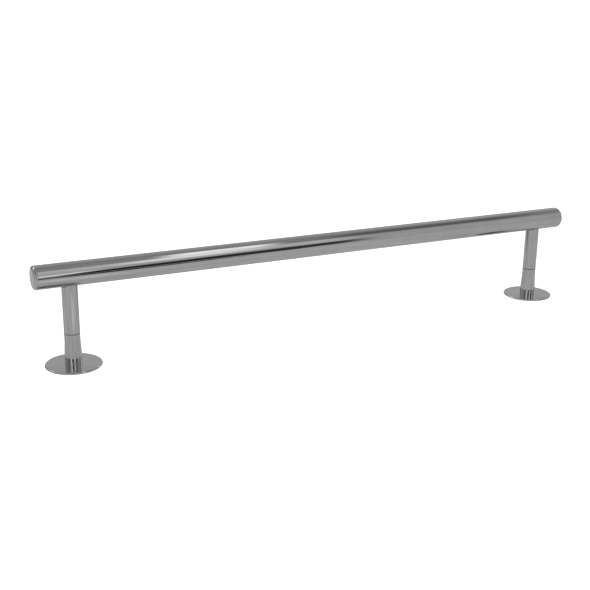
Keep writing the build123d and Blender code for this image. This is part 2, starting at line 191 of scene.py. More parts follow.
# ---- finishes
@dataclass(frozen=True)
class MirrorPolishedSteel:
    """316 stainless steel, ground, then buffed to a mirror on a sisal wheel and a soft mop.

    It mirrors the room nearly whole. What tells it from chrome is the faint haze of the
    buffing, the fine lines left round the piece, and a surface that is not quite true, so
    that the edges of what it mirrors wander a little.
    """

    name: str
    lie: Lie
    streak_strength: float  # how far the draw marks darken it
    colour: str = "#CBCBCC"
    shade: str = "#B5B5B7"
    clear_roughness: float = 0.018
    hazy_roughness: float = 0.055
    line_spacing: float = 0.45  # mm; real buffing lines are near 0.02, too fine to show
    line_depth: float = 0.00018  # mm
    line_breaks: float = 2.2  # per radian, where a line fades
    wave_length: float = 16.0  # mm; the true shape wanders over this distance
    wave_depth: float = 0.0035  # mm
    haze_size: float = 28.0  # mm; patches where the mop lay longer
    haze_span: tuple[float, float] = (0.38, 0.68)
    hairline_spacing: float = 2.6  # mm; between wiping hairlines
    hairline_length: float = 36.4  # mm
    hairline_turns: float = 9.0  # per radian
    hairline_width: float = 0.012  # of the noise's range
    hairline_depth: float = 0.0003  # mm
    streak_width: float = 1.7  # mm; lengthwise marks of drawing that the buffing left
    streak_length: float = 140.0  # mm
    streak_span: tuple[float, float] = (0.36, 0.64)
    dulling: tuple[float, float, float] = (0.35, 0.55, 0.25)  # by lines, haze and hairlines
    dullest: float = 1.1
    dull_shade: float = 0.35  # how far dull patches darken it

    def material(self) -> Material:
        """Builds the node material.

        Returns:
            The material.
        """
        made, node = new_material(self.name)
        round_place, straight_place = lathe_places(node, self.lie)
        point = node("TexCoord", output="Object")

        # Slow haze, in patches.
        haze = node("TexNoise", {"Vector": point, "Scale": 1 / (self.haze_size * MM), "Detail": 3.0,
                                 "Roughness": 0.55})
        hazy = node("MapRange", (haze, *self.haze_span, 0.0, 1.0), **SOFT)

        # Buffing lines: rings that break up as they go round.
        per_mm = 1 / self.line_spacing
        rings = node("VectorMath MULTIPLY", (round_place, (per_mm, per_mm, self.line_breaks)))
        lines = node("TexNoise", {"Vector": rings, "Scale": 1.0, "Detail": 2.0, "Roughness": 0.6})

        # Hairlines from wiping, sparse and long, lying along the piece.
        stretch = (1 / self.hairline_length, 1 / self.hairline_spacing, self.hairline_turns)
        wiped = node("VectorMath MULTIPLY", (round_place, stretch))
        wiping = node("TexNoise", {"Vector": wiped, "Scale": 1.0, "Detail": 1.0})
        off_line = node("Math ABSOLUTE", (node("Math SUBTRACT", (wiping, 0.5)),))
        hairline = node("MapRange", (off_line, 0.0, self.hairline_width, 1.0, 0.0), **SOFT)

        # The surface's own wander, far wider than the lines.
        wander = node("TexNoise", {"Vector": point, "Scale": 1 / (self.wave_length * MM), "Detail": 1.0,
                                   "Roughness": 0.4})

        # Draw marks: faint lengthwise bands, a shade darker than the rest.
        stretch = (1 / self.streak_width, 1 / self.streak_width, 1 / self.streak_length)
        drawn = node("VectorMath MULTIPLY", (straight_place, stretch))
        marks = node("TexNoise", {"Vector": drawn, "Scale": 1.0, "Detail": 1.5})
        streaks = node("MapRange", (marks, *self.streak_span, 0.0, self.streak_strength), **SOFT)

        wear = node("CombineXYZ", (lines, hazy, hairline))
        dull = node("VectorMath DOT_PRODUCT", (wear, self.dulling), "Value")
        rough = node("MapRange", (dull, 0.0, self.dullest, self.clear_roughness, self.hazy_roughness), **SOFT)
        share = node("Math MULTIPLY_ADD", (dull, self.dull_shade, streaks))
        depths = (self.line_depth * MM, self.wave_depth * MM, -self.hairline_depth * MM)
        relief = node("CombineXYZ", (lines, wander, hairline))
        height = node("VectorMath DOT_PRODUCT", (relief, depths), "Value")
        lay_on(node, share, (self.colour, self.shade), {"Height": height, "Strength": 1.0},
               {"Roughness": rough, "Metallic": 1.0})
        return made


@dataclass(frozen=True)
class TurnedSteel:
    """A4 stainless steel straight off the lathe or the heading press, not polished.

    It is a soft satin grey with close tool rings round the axis. The rings spread a
    highlight across the piece, and the metal in the rings' floors looks a shade darker.
    """

    name: str
    lie: Lie
    colour: str = "#B9B9BA"
    shade: str = "#8F8F91"
    low_roughness: float = 0.26
    high_roughness: float = 0.46
    feed: float = 0.18  # mm between tool rings; real feed is near 0.1
    ring_breaks: float = 0.8  # per radian
    ring_depth: float = 0.004  # mm
    blotch_size: float = 4.0  # mm; uneven wash of the tumbling barrel
    shade_span: tuple[float, float] = (0.32, 0.68)
    rough_span: tuple[float, float] = (0.3, 0.7)

    def material(self) -> Material:
        """Builds the node material.

        Returns:
            The material.
        """
        made, node = new_material(self.name)
        point = node("TexCoord", output="Object")
        stretch = (1 / self.feed, 1 / self.feed, self.ring_breaks)
        rings = node("VectorMath MULTIPLY", (lathe_places(node, self.lie)[0], stretch))
        tooling = node("TexNoise", {"Vector": rings, "Scale": 1.0, "Detail": 1.5})
        blotch = node("TexNoise", {"Vector": point, "Scale": 1 / (self.blotch_size * MM), "Detail": 4.0,
                                   "Roughness": 0.6})
        both = node("Math ADD", (tooling, blotch))
        worn = node("Math MULTIPLY", (both, 0.5))
        share = node("MapRange", (worn, *self.shade_span, 0.0, 1.0), **SOFT)
        rough = node("MapRange", (worn, *self.rough_span, self.low_roughness, self.high_roughness), **SOFT)
        height = node("Math MULTIPLY", (tooling, self.ring_depth * MM))
        lay_on(node, share, (self.colour, self.shade), {"Height": height, "Strength": 1.0},
               {"Roughness": rough, "Metallic": 1.0})
        return made


@dataclass(frozen=True)
class MouldedRubber:
    """Black EPDM rubber, compression moulded in a blasted mould.

    It is matt and nearly black, with a fine even grain and a trace of grey bloom that
    lifts the colour where the skin has been handled.
    """

    name: str
    colour: str = "#1B1B1D"
    bloom: str = "#37373A"
    low_roughness: float = 0.62
    high_roughness: float = 0.88
    specular: float = 0.35
    grain: float = 0.35  # mm; the mould's grit is near 0.1
    grain_depth: float = 0.02  # mm
    grain_span: tuple[float, float] = (0.3, 0.7)
    grain_hold: float = 0.4  # how much bloom stays on the grain's tops
    bump: float = 0.7
    bloom_size: float = 9.0  # mm
    bloom_span: tuple[float, float] = (0.42, 0.72)

    def material(self) -> Material:
        """Builds the node material.

        Returns:
            The material.
        """
        made, node = new_material(self.name)
        point = node("TexCoord", output="Object")
        grain = node("TexNoise", {"Vector": point, "Scale": 1 / (self.grain * MM), "Detail": 2.0,
                                  "Roughness": 0.6})
        bloom = node("TexNoise", {"Vector": point, "Scale": 1 / (self.bloom_size * MM), "Detail": 5.0,
                                  "Roughness": 0.62})
        bloomed = node("MapRange", (bloom, *self.bloom_span, 0.0, 1.0), **SOFT)
        held = node("MapRange", (grain, *self.grain_span, self.grain_hold, 1.0), **SOFT)
        dusty = node("Math MULTIPLY", (bloomed, held))
        rough = node("MapRange", (dusty, 0.0, 1.0, self.low_roughness, self.high_roughness), **SOFT)
        height = node("Math MULTIPLY", (grain, self.grain_depth * MM))
        lay_on(node, dusty, (self.colour, self.bloom), {"Height": height, "Strength": self.bump},
               {"Roughness": rough, "Specular IOR Level": self.specular})
        return made


class Finishes:
    """Every finish of the rail, made once and shared by its pieces."""

    def __init__(self) -> None:
        """Makes the materials."""
        self.rail = MirrorPolishedSteel("steel_316_mirror_polished_rail", Lie.ALONG_RAIL, 0.35).material()
        self.post = MirrorPolishedSteel("steel_316_mirror_polished_post", Lie.UPRIGHT, 0.75).material()
        self.plate = MirrorPolishedSteel("steel_316_mirror_polished_plate", Lie.UPRIGHT, 0.12).material()
        self.turned_rail = TurnedSteel("steel_316_turned_rail", Lie.ALONG_RAIL).material()
        self.turned_post = TurnedSteel("steel_a4_turned_post", Lie.UPRIGHT).material()
        self.rubber = MouldedRubber("epdm_rubber_moulded").material()


# ---- outlines
def rounded(corners: Sequence[Sequence[Any]]) -> list[tuple[Any, Any]]:
    """Follows an outline's corners and rounds those that give a rounding.

    Args:
        corners: Radius, distance along the axis and, for some, the rounding, in mm.

    Returns:
        The outline's points, as radius and distance along the axis.
    """
    points: list[tuple[Any, Any]] = []
    for index, (radius, along, *rounding) in enumerate(corners):
        if not rounding:
            points.append((radius, along))
            continue
        here = Vector((radius, along))
        back = (Vector(corners[index - 1][:2]) - here).normalized()
        on = (Vector(corners[(index + 1) % len(corners)][:2]) - here).normalized()
        opening = math.acos(max(-1.0, min(1.0, back.dot(on))))
        centre = here + (back + on).normalized() * (rounding[0] / math.sin(opening / 2))
        reach = rounding[0] / math.tan(opening / 2)
        first, last = here + back * reach - centre, here + on * reach - centre
        sweep = math.copysign(math.pi - opening, first.x * last.y - first.y * last.x)
        steps = max(FEWEST_ARC_STEPS, math.ceil(math.degrees(abs(sweep)) / ARC_STEP))
        for step in range(steps + 1):
            cos, sin = math.cos(sweep * step / steps), math.sin(sweep * step / steps)
            turned = Vector((first.x * cos - first.y * sin, first.x * sin + first.y * cos))
            points.append(tuple(centre + turned))
    return points


def circle(radius: float, along: float, section: float, steps: int = 28) -> list[tuple[float, float]]:
    """The round section of an O-ring, as an outline: its place and its diameter, in mm."""
    turns = (2 * math.pi * step / steps for step in range(steps))
    return [(radius + section / 2 * math.cos(turn), along + section / 2 * math.sin(turn)) for turn in turns]


def size_at(size: Number, turn: float) -> float:
    """A size at a turn, of which it may be a function."""
    return size(turn) if callable(size) else size


def hexagon(across_flats: float) -> Callable[[float], float]:
    """The radius of a hexagon, in mm, as a function of the turn in radians."""
    sixth = math.pi / 3
    return lambda turn: across_flats / 2 / math.cos(turn % sixth - sixth / 2)


# ---- turned meshes
def new_object(name: str, mesh: Any, *materials: Material) -> Object:
    """Makes a scene object of a finished mesh, and frees the mesh.

    Args:
        name: The object's name.
        mesh: The bmesh.
        materials: Its materials, by index.

    Returns:
        The new object.
    """
    data = bpy.data.meshes.new(name)
    mesh.to_mesh(data)
    mesh.free()
    for material in materials:
        data.materials.append(material)
    made = bpy.data.objects.new(name, data)
    bpy.context.scene.collection.objects.link(made)
    return made


@dataclass(frozen=True)
class Thread:
    """A metric screw thread between two places on a turned piece."""

    pitch: float
    crest: float  # radius of the thread's crests, mm
    root: float  # radius of its roots, mm
    start: float  # where it starts along the axis, mm
    end: float
    end_radius: float  # radius of the plain rings that it runs out into, mm
    shape: tuple[float, ...] = (0.0, 0.0, 0.35, 0.75, 1.0, 1.0, 0.75, 0.35)  # root 0, crest 1, over one pitch


@dataclass(frozen=True)
class Window:
    """A round cross-hole through both walls of a turned piece, in a patch of the walls."""

    along: float  # mm
    turn: int  # index of the ring's point that the hole is centred on
    radius: float  # mm
    reach: int  # ring points from the centre to the patch's edge
    margin: float = 1.5  # half the patch's length, in hole radii
    cells: int = 12  # steps along the patch

    def stations(self) -> list[float]:
        """The rings that the patch needs, as places along the axis, mm."""
        low, high = self.along - self.radius * self.margin, self.along + self.radius * self.margin
        return [low + (high - low) * step / self.cells for step in range(self.cells + 1)]


@dataclass
class Turning:
    """A mesh built as a lathe builds it: rings round one axis, joined in order."""

    lie: Lie
    centre: Vector  # metres, the point on the axis where distance along it is 0
    segments: int  # points in each ring
    outward: float = 1.0  # 1 or -1, the direction of "along"
    mesh: Any = field(default_factory=bmesh.new)

    def point(self, radius: float, along: float, turn: float) -> Any:
        """Adds a vertex at a radius and a place along the axis, in mm, and a turn in radians."""
        parts = (radius * math.cos(turn), radius * math.sin(turn), self.outward * along)
        return self.mesh.verts.new(self.centre + Vector([parts[part] * MM for part in self.lie.value]))

    def ring(self, *sizes: Number) -> list[Any]:
        """Adds a ring of a radius at a place along the axis. It is one vertex where the radius is 0."""
        turns = (2 * math.pi * index / self.segments for index in range(self.segments if sizes[0] else 1))
        return [self.point(*(size_at(size, turn) for size in sizes), turn) for turn in turns]

    def join(self, *rings: list[Any], finish: int = 0, skip: Collection[int] = (),
             round_trip: bool = True) -> None:
        """Joins neighbouring rings with faces.

        Args:
            rings: The rings in order. One of a single vertex is a pole.
            finish: Index of the faces' material.
            skip: Places in the rings whose faces are left out.
            round_trip: Whether the last vertex of a ring joins back to its first.
        """
        for first, second in zip(rings, rings[1:]):
            count = max(len(first), len(second))
            for index in range(count if round_trip else count - 1):
                if index in skip:
                    continue
                after = (index + 1) % count
                corners = [ring[place % len(ring)] for ring, place in
                           ((first, index), (first, after), (second, after), (second, index))]
                self.mesh.faces.new(list(dict.fromkeys(corners))).material_index = finish

    def outline(self, corners: Sequence[Sequence[Any]], finish: int = 0, closed: bool = False) -> None:
        """Turns an outline of radius, distance along the axis and, for some corners, rounding, in mm."""
        rings = [self.ring(*point) for point in rounded(corners)]
        self.join(*rings, *(rings[:1] if closed else ()), finish=finish)

    def thread(self, thread: Thread, finish: int = 0) -> None:
        """Cuts a screw thread as a sheet whose rows follow the helix.

        Args:
            thread: The thread's sizes.
            finish: Index of the faces' material.
        """
        per_pitch = len(thread.shape)
        sheet = []
        for row in range(math.ceil((thread.end - thread.start) / thread.pitch + 2) * per_pitch):
            radius = thread.root + (thread.crest - thread.root) * thread.shape[row % per_pitch]
            line = []
            for index in range(self.segments + 1):
                share = index / self.segments
                along = thread.start + thread.pitch * (row / per_pitch - 1 + share)
                cut = thread.start < along < thread.end
                along = min(max(along, thread.start), thread.end)
                line.append(self.point(radius if cut else thread.end_radius, along, 2 * math.pi * share))
            sheet.append(line)
        self.join(*sheet, finish=finish, round_trip=False)

    def pierced(self, radii: tuple[float, float], stations: list[float], windows: list[Window]) -> list[Any]:
        """Builds an outer wall in material 0 and an inner wall in material 1, with cross-holes.

        Args:
            radii: Radii of the outer and the inner wall, mm.
            stations: Places of the rings along the axis, mm, each window's own among them.
            windows: The cross-holes.

        Returns:
            The rings of the outer wall and of the inner wall.
        """
        walls = [[self.ring(radius, along) for along in stations] for radius in radii]
        borders, skip = [], [set[int]() for _ in stations]
        for window in windows:
            start = stations.index(window.stations()[0])
            left, right, end = window.turn - window.reach, window.turn + window.reach, start + window.cells
            border = [(start, turn) for turn in range(left, right)]
            border += [(row, right) for row in range(start, end)]
            border += [(end, turn) for turn in range(right, left, -1)]
            borders.append(border + [(row, left) for row in range(end, start, -1)])
            for row in range(start, end):
                skip[row].update(turn % self.segments for turn in range(left, right))
        for finish, rings in enumerate(walls):
            for missing, first, second in zip(skip, rings, rings[1:]):
                self.join(first, second, finish=finish, skip=missing)
        step = 2 * math.pi / self.segments
        for window, border in zip(windows, borders):
            rims = []
            for finish, (radius, rings) in enumerate(zip(radii, walls)):
                rim = []
                for row, turn in border:
                    bearing = math.atan2(radii[0] * (turn - window.turn) * step, stations[row] - window.along)
                    swing = math.asin(window.radius * math.sin(bearing) / radius)
                    along = window.along + window.radius * math.cos(bearing)
                    rim.append(self.point(radius, along, window.turn * step + swing))
                self.join([rings[row][turn % self.segments] for row, turn in border], rim, finish=finish)
                rims.append(rim)
            self.join(*rims, finish=1)
        return walls

    def piece(self, node: str, slot: Slot, *materials: Material) -> None:
        """Closes the mesh, makes it a piece of the rail, and lets it stand for its CAD node.

        Args:
            node: The CAD node that it stands for and is named after.
            slot: Not used.
            materials: Its materials, by index.
        """
        bmesh.ops.remove_doubles(self.mesh, verts=self.mesh.verts, dist=WELD_DISTANCE)
        bmesh.ops.dissolve_degenerate(self.mesh, edges=self.mesh.edges, dist=WELD_DISTANCE)
        bmesh.ops.recalc_face_normals(self.mesh, faces=self.mesh.faces)
        for face in self.mesh.faces:
            face.smooth = True
        loose = sum(1 for edge in self.mesh.edges if not edge.is_manifold)
        made = new_object(f"{node}_finished", self.mesh, *materials)
        made.data.set_sharp_from_angle(angle=CREASE_ANGLE)
        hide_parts(node)
        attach(made, BODY)
        LOG.info("%s: %d faces, %d open edges", made.name, len(made.data.polygons), loose)


# ---- the rail
@dataclass
class Rail:
    """The tube, open at both ends, with a screw hole in its underside over each post."""

    finishes: Finishes
    radius: float = 12.7
    bore: float = 11.2
    edge_break: float = 0.12
    screw_hole: float = 3.2
    segments: int = 256
    hole_reach: int = 16
    span_step: float = 25.0

    def build(self) -> None:
        """Builds and dresses the tube."""
        low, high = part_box("rail_tube")
        half = (high.x - low.x) / 2 / MM
        turning = Turning(Lie.ALONG_RAIL, (low + high) / 2, self.segments)
        underside = self.segments // 2
        windows = [Window(x, underside, self.screw_hole, self.hole_reach) for x in self.hole_places()]
        stations: list[float] = []
        start = -half + self.edge_break
        for window in windows:
            patch = window.stations()
            stations += self.even_steps(start, patch[0])[:-1] + patch[:-1]
            start = patch[-1]
        stations += self.even_steps(start, half - self.edge_break)
        outer, inner = turning.pierced((self.radius, self.bore), stations, windows)
        for end, along in ((0, -half), (-1, half)):
            lip = turning.ring(self.radius - self.edge_break, along)
            inside = turning.ring(self.bore + self.edge_break, along)
            turning.join(outer[end], lip)
            turning.join(lip, inside, inner[end], finish=1)
        turning.piece("rail_tube", Slot.POLISHED, self.finishes.rail, self.finishes.turned_rail)

    def hole_places(self) -> list[float]:
        """Where the screw holes lie along the tube, mm, from the posts' own boxes."""
        posts = (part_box(f"{side}_upper_post") for side in ("left", "right"))
        return [(low.x + high.x) / 2 / MM for low, high in posts]

    def even_steps(self, start: float, end: float) -> list[float]:
        """Divides a stretch of tube into even steps, mm."""
        count = max(1, math.ceil((end - start) / self.span_step))
        return [start + (end - start) * step / count for step in range(count + 1)]


@dataclass
class EndCap:
    """A turned cap with a well rounded rim, a hollow spigot, and the O-ring in its groove."""

    finishes: Finishes
    side: str
    outward: float
    head: float = 4.6
    radius: float = 12.7
    rim_radius: float = 3.5
    seam_break: float = 0.15
    spigot: float = 11.15
    spigot_length: float = 14.0
    groove_start: float = 7.0
    groove_width: float = 1.6
    groove_floor: float = 9.86
    pocket: float = 6.86
    seal_middle: float = 10.53
    seal_section: float = 1.3
    edge: float = 0.2
    segments: int = 256

    def build(self) -> None:
        """Builds and dresses the cap and its seal."""
        low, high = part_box(f"{self.side}_end_cap")
        face = high.x if self.outward > 0 else low.x
        seat = Vector((face - self.outward * self.head * MM, 0, (low.z + high.z) / 2))
        turning = Turning(Lie.ALONG_RAIL, seat, self.segments, self.outward)
        turning.outline((
            (0, self.head), (self.radius, self.head, self.rim_radius), (self.radius, self.seam_break),
            (self.radius - self.seam_break, 0), (self.spigot, 0)))
        groove_end = self.groove_start + self.groove_width
        turning.outline((
            (self.spigot, 0), (self.spigot, -self.groove_start), (self.groove_floor, -self.groove_start),
            (self.groove_floor, -groove_end), (self.spigot, -groove_end),
            (self.spigot, -self.spigot_length, self.edge), (self.pocket, -self.spigot_length, self.edge),
            (self.pocket, 0), (0, 0)), finish=1)
        turning.piece(f"{self.side}_end_cap", Slot.POLISHED, self.finishes.rail, self.finishes.turned_rail)
        seal = Turning(Lie.ALONG_RAIL, seat, self.segments // 2, self.outward)
        along = -self.groove_start - self.groove_width / 2
        seal.outline(circle(self.seal_middle, along, self.seal_section), closed=True)
        seal.piece(f"{self.side}_cap_seal", Slot.RUBBER, self.finishes.rubber)


# ---- the supports
@dataclass
class SupportPart:
    """A part of one support. Its foot is where the post's axis meets the deck, in metres."""

    finishes: Finishes
    side: str
    foot: Vector
    post_radius: float = 8.35
    joint: float = 36.0
    joint_break: float = 0.4
    joint_depth: float = 0.75

    def turning(self, segments: int) -> Turning:
        """Starts a piece on the post's axis."""
        return Turning(Lie.UPRIGHT, self.foot, segments)


@dataclass
class DeckPlate(SupportPart):
    """The round deck flange with its gasket, under one post."""

    radius: float = 30.0
    thickness: float = 2.0
    bevel: float = 0.5
    bevel_rounding: float = 0.25
    neck_hole: float = 7.05
    recess: float = 0.8
    recess_inner: float = 10.0
    recess_outer: float = 27.0
    gasket_slack: float = 0.05
    edge: float = 0.12
    segments: int = 256

    def build(self) -> None:
        """Builds and dresses the flange and the gasket."""
        top, rim, edge, soft = self.thickness, self.radius, self.edge, self.bevel_rounding
        looks = self.finishes
        flange = self.turning(self.segments)
        flange.outline((
            (self.neck_hole + edge, top), (rim - self.bevel, top, soft), (rim, top - self.bevel, soft),
            (rim, edge), (rim - edge, 0)))
        flange.outline((
            (rim - edge, 0), (self.recess_outer, 0), (self.recess_outer, self.recess),
            (self.recess_inner, self.recess), (self.recess_inner, 0), (self.neck_hole + edge, 0),
            (self.neck_hole, edge), (self.neck_hole, top - edge), (self.neck_hole + edge, top)), finish=1)
        flange.piece(f"{self.side}_deck_flange", Slot.POLISHED, looks.plate, looks.turned_post)
        inner, outer = self.recess_inner + self.gasket_slack, self.recess_outer - self.gasket_slack
        section = ((inner, 0, edge), (outer, 0, edge), (outer, self.recess, edge), (inner, self.recess, edge))
        gasket = self.turning(self.segments // 2)
        gasket.outline(section, closed=True)
        gasket.piece(f"{self.side}_deck_gasket", Slot.RUBBER, looks.rubber)


@dataclass
class BasePost(SupportPart):
    """The lower half of a post: neck, foot, joint shoulder and spigot, tapped M8 from below."""

    neck: float = 7.0
    flange_top: float = 2.0
    foot_radius: float = 9.2
    foot_top: float = 12.0
    taper_top: float = 27.0
    blend: float = 60.0
    spigot: float = 5.95
    spigot_top: float = 56.0
    spigot_lead: float = 1.0
    seal_low: float = 38.5
    seal_width: float = 1.6
    seal_floor: float = 4.66
    seal_middle: float = 5.33
    seal_section: float = 1.3
    grub_groove: tuple[float, float, float, float] = (45.7, 46.7, 49.3, 50.3)
    grub_floor: float = 4.95
    tap: float = 3.4
    tap_depth: float = 20.0
    mouth: float = 0.7
    thread_major: float = 4.0
    thread_pitch: float = 1.25
    thread_start: float = 0.9
    thread_end: float = 17.5
    point_angle: float = 118.0  # degrees, the tapping drill's
    edge: float = 0.15
    segments: int = 128

    def build(self) -> None:
        """Builds and dresses the base post and the seal on its spigot."""
        low, floor_low, floor_high, high = self.grub_groove
        seal_high = self.seal_low + self.seal_width
        drill_tip = self.tap_depth + self.tap / math.tan(math.radians(self.point_angle / 2))
        post = self.turning(self.segments)
        post.outline((
            (self.neck, self.flange_top), (self.foot_radius, self.flange_top, self.edge),
            (self.foot_radius, self.foot_top, self.blend), (self.post_radius, self.taper_top, self.blend),
            (self.post_radius, self.joint - self.joint_break)))
        spigot = (
            (self.post_radius, self.joint - self.joint_break),
            (self.post_radius - self.joint_depth, self.joint),
            (self.spigot, self.joint), (self.spigot, self.seal_low), (self.seal_floor, self.seal_low),
            (self.seal_floor, seal_high), (self.spigot, seal_high), (self.spigot, low),
            (self.grub_floor, floor_low), (self.grub_floor, floor_high), (self.spigot, high),
            (self.spigot, self.spigot_top - self.spigot_lead),
            (self.spigot - self.spigot_lead, self.spigot_top), (0, self.spigot_top))
        below = (
            (self.neck, self.flange_top), (self.neck, 0, self.edge), (self.tap + self.mouth, 0),
            (self.tap, self.mouth), (self.tap, self.thread_start))
        bottom = ((self.tap, self.thread_end), (self.tap, self.tap_depth), (0, drill_tip))
        for run in (spigot, below, bottom):
            post.outline(run, finish=1)
        post.thread(Thread(self.thread_pitch, self.tap, self.thread_major, self.thread_start,
                           self.thread_end, self.tap), finish=1)
        post.piece(f"{self.side}_base_post", Slot.POLISHED, self.finishes.post, self.finishes.turned_post)
        seal = self.turning(self.segments)
        along = self.seal_low + self.seal_width / 2
        seal.outline(circle(self.seal_middle, along, self.seal_section), closed=True)
        seal.piece(f"{self.side}_joint_seal", Slot.RUBBER, self.finishes.rubber)


@dataclass
class UpperPost(SupportPart):
    """The upper half of a post: bored from below, coped to the tube, cross-drilled at the back."""

    bore: float = 6.0
    bore_lead: float = 0.3
    web: float = 64.6
    screw_hole: float = 3.2
    rail_axis: float = 100.0
    seat_radius: float = 12.73
    grub_height: float = 48.0
    grub_hole: float = 2.05
    over_hole: float = 8.0  # from the cross-hole up to the next ring
    cope_start: float = 86.0
    cope_break: float = 0.5
    cope_rings: int = 5
    edge: float = 0.15
    segments: int = 192
    hole_reach: int = 13

    def seat(self, radius: float) -> Callable[[float], float]:
        """The saddle's height, in mm, as a function of the turn, at a radius in mm."""
        return lambda turn: self.rail_axis - math.sqrt(self.seat_radius ** 2 - (radius * math.sin(turn)) ** 2)

    def build(self) -> None:
        """Builds and dresses the upper post."""
        post = self.turning(self.segments)
        window = Window(self.grub_height, self.segments // 4, self.grub_hole, self.hole_reach)
        patch = window.stations()
        low = self.joint + self.joint_break + self.edge
        stations = [low, (low + patch[0]) / 2, *patch, self.grub_height + self.over_hole, self.web]
        outer, inner = post.pierced((self.post_radius, self.bore), stations, [window])
        side, inset = self.seat(self.post_radius), self.post_radius - self.cope_break
        below_seat = post.ring(self.post_radius, lambda turn: side(turn) - self.cope_break)
        post.join(outer[-1], post.ring(self.post_radius, self.cope_start), below_seat)
        shares = (step / self.cope_rings for step in range(self.cope_rings + 1))
        radii = (inset + (self.screw_hole - inset) * share for share in shares)
        saddle = [post.ring(radius, self.seat(radius)) for radius in radii]
        post.join(below_seat, *saddle, post.ring(self.screw_hole, self.web), inner[-1], finish=1)
        bevel = post.ring(self.post_radius, self.joint + self.joint_break)
        mouth = ((self.post_radius - self.joint_depth, self.joint), (self.bore + self.bore_lead, self.joint),
                 (self.bore, self.joint + self.bore_lead))
        post.join(outer[0], bevel)
        post.join(bevel, *(post.ring(*place) for place in mouth), inner[0], finish=1)
        post.piece(f"{self.side}_upper_post", Slot.POLISHED, self.finishes.post, self.finishes.turned_post)


@dataclass
class GrubScrew(SupportPart):
    """The M4 grub screw at the back of a post, with a hexagon socket and a cone point."""

    height: float = 48.0  # over the deck
    radius: float = 2.0
    thread_root: float = 1.57
    pitch: float = 0.7
    tip: float = 4.97
    point: float = 0.8
    point_rise: float = 0.37
    outer_end: float = 7.95
    face_bevel: float = 0.3
    bevel_foot: tuple[float, float] = (0.16, 0.05)
    key: float = 2.0
    key_depth: float = 1.3
    key_lead: float = 0.15
    drill_cone: float = 0.35
    segments: int = 96

    def build(self) -> None:
        """Builds and dresses the grub screw."""
        screw = Turning(Lie.ACROSS, self.foot + Vector((0, 0, self.height * MM)), self.segments)
        root, end = self.thread_root, self.outer_end - self.face_bevel
        start = self.tip + self.point
        screw.outline(((0, self.tip), (self.radius - self.point, self.tip), (root, start - self.point_rise),
                       (root, start)))
        screw.thread(Thread(self.pitch, self.radius, root, start, end, root))
        corner = self.key / 2 / math.cos(math.pi / 6)
        socket, floor = hexagon(self.key), self.outer_end - self.key_depth
        screw.outline((
            (root, end), (root + self.bevel_foot[0], end + self.bevel_foot[1]),
            (self.radius - self.face_bevel, self.outer_end), (corner + self.key_lead, self.outer_end),
            (socket, self.outer_end - self.key_lead), (socket, floor), (0, floor - self.drill_cone)))
        screw.piece(f"{self.side}_grub_screw", Slot.MACHINED, self.finishes.turned_post)


@dataclass
class RailScrew(SupportPart):
    """The M6 socket head screw that pulls the tube down on the post."""

    head_low: float = 57.0
    head_high: float = 63.0
    head: float = 5.0
    head_rounding: tuple[tuple[float, float], ...] = ((0.75, 0.0), (0.42, 0.12), (0.2, 0.42))  # in, up
    head_edge: float = 0.25
    knurls: int = 32
    knurl_depth: float = 0.14
    knurl_ends: tuple[float, float] = (0.8, 0.3)
    shank: float = 3.0
    fillet: float = 0.25
    thread_root: float = 2.45
    pitch: float = 1.0
    thread_start: float = 68.0
    run_out: float = 0.5
    tip: float = 98.0
    tip_bevel: float = 0.7
    key: float = 5.0
    key_depth: float = 3.0
    key_lead: float = 0.2
    drill_cone: float = 0.9
    segments: int = 192

    def knurled(self, turn: float) -> float:
        """The head's radius at a turn, with its straight knurl."""
        return self.head - self.knurl_depth * (0.5 - 0.5 * math.cos(turn * self.knurls))

    def build(self) -> None:
        """Builds and dresses the rail screw."""
        screw = self.turning(self.segments)
        socket, corner = hexagon(self.key), self.key / 2 / math.cos(math.pi / 6)
        low, high, root = self.head_low, self.head_high, self.thread_root
        floor, bevelled = low + self.key_depth, self.tip - self.tip_bevel
        screw.outline((
            (0, floor + self.drill_cone), (socket, floor), (socket, low + self.key_lead),
            (corner + self.key_lead, low),
            *((self.head - inward, low + up) for inward, up in self.head_rounding),
            (self.knurled, low + self.knurl_ends[0]), (self.knurled, high - self.knurl_ends[1]),
            (self.head - self.head_edge, high), (self.shank + self.fillet, high),
            (self.shank, high + self.fillet),
            (self.shank, self.thread_start - self.run_out), (root, self.thread_start)))
        screw.thread(Thread(self.pitch, self.shank, root, self.thread_start, bevelled, root))
        screw.outline(((root, bevelled), (self.shank - self.tip_bevel, self.tip), (0, self.tip)))
        screw.piece(f"{self.side}_rail_screw", Slot.MACHINED, self.finishes.turned_post)


@dataclass
class Support:
    """One support: deck plate, both halves of the post, and its fixings."""

    finishes: Finishes
    side: str

    def build(self) -> None:
        """Builds every piece of the support, and dresses the two that keep their CAD shape."""
        low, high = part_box(f"{self.side}_base_post")
        foot = Vector(((low.x + high.x) / 2, (low.y + high.y) / 2, low.z))
        for part in (DeckPlate, BasePost, UpperPost, GrubScrew, RailScrew):
            part(self.finishes, self.side, foot).build()
        self.dress("spring_washer", self.finishes.turned_post)
        self.dress("saddle_nut", self.finishes.turned_rail)

    def dress(self, part: str, material: Material) -> None:
        """Gives a CAD node that keeps its shape its material.

        Args:
            part: The node's name without its side.
            material: The material.
        """
        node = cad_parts[f"{self.side}_{part}"]
        node.data.materials.clear()
        node.data.materials.append(material)
        LOG.info("%s_%s: kept, in %s", self.side, part, material.name)


# ---- studio
def hide_from(made: Object, *rays: str) -> None:
    """Takes a stage object or a lamp out of some kinds of light ray."""
    for ray in rays:
        setattr(made, f"visible_{ray}", False)


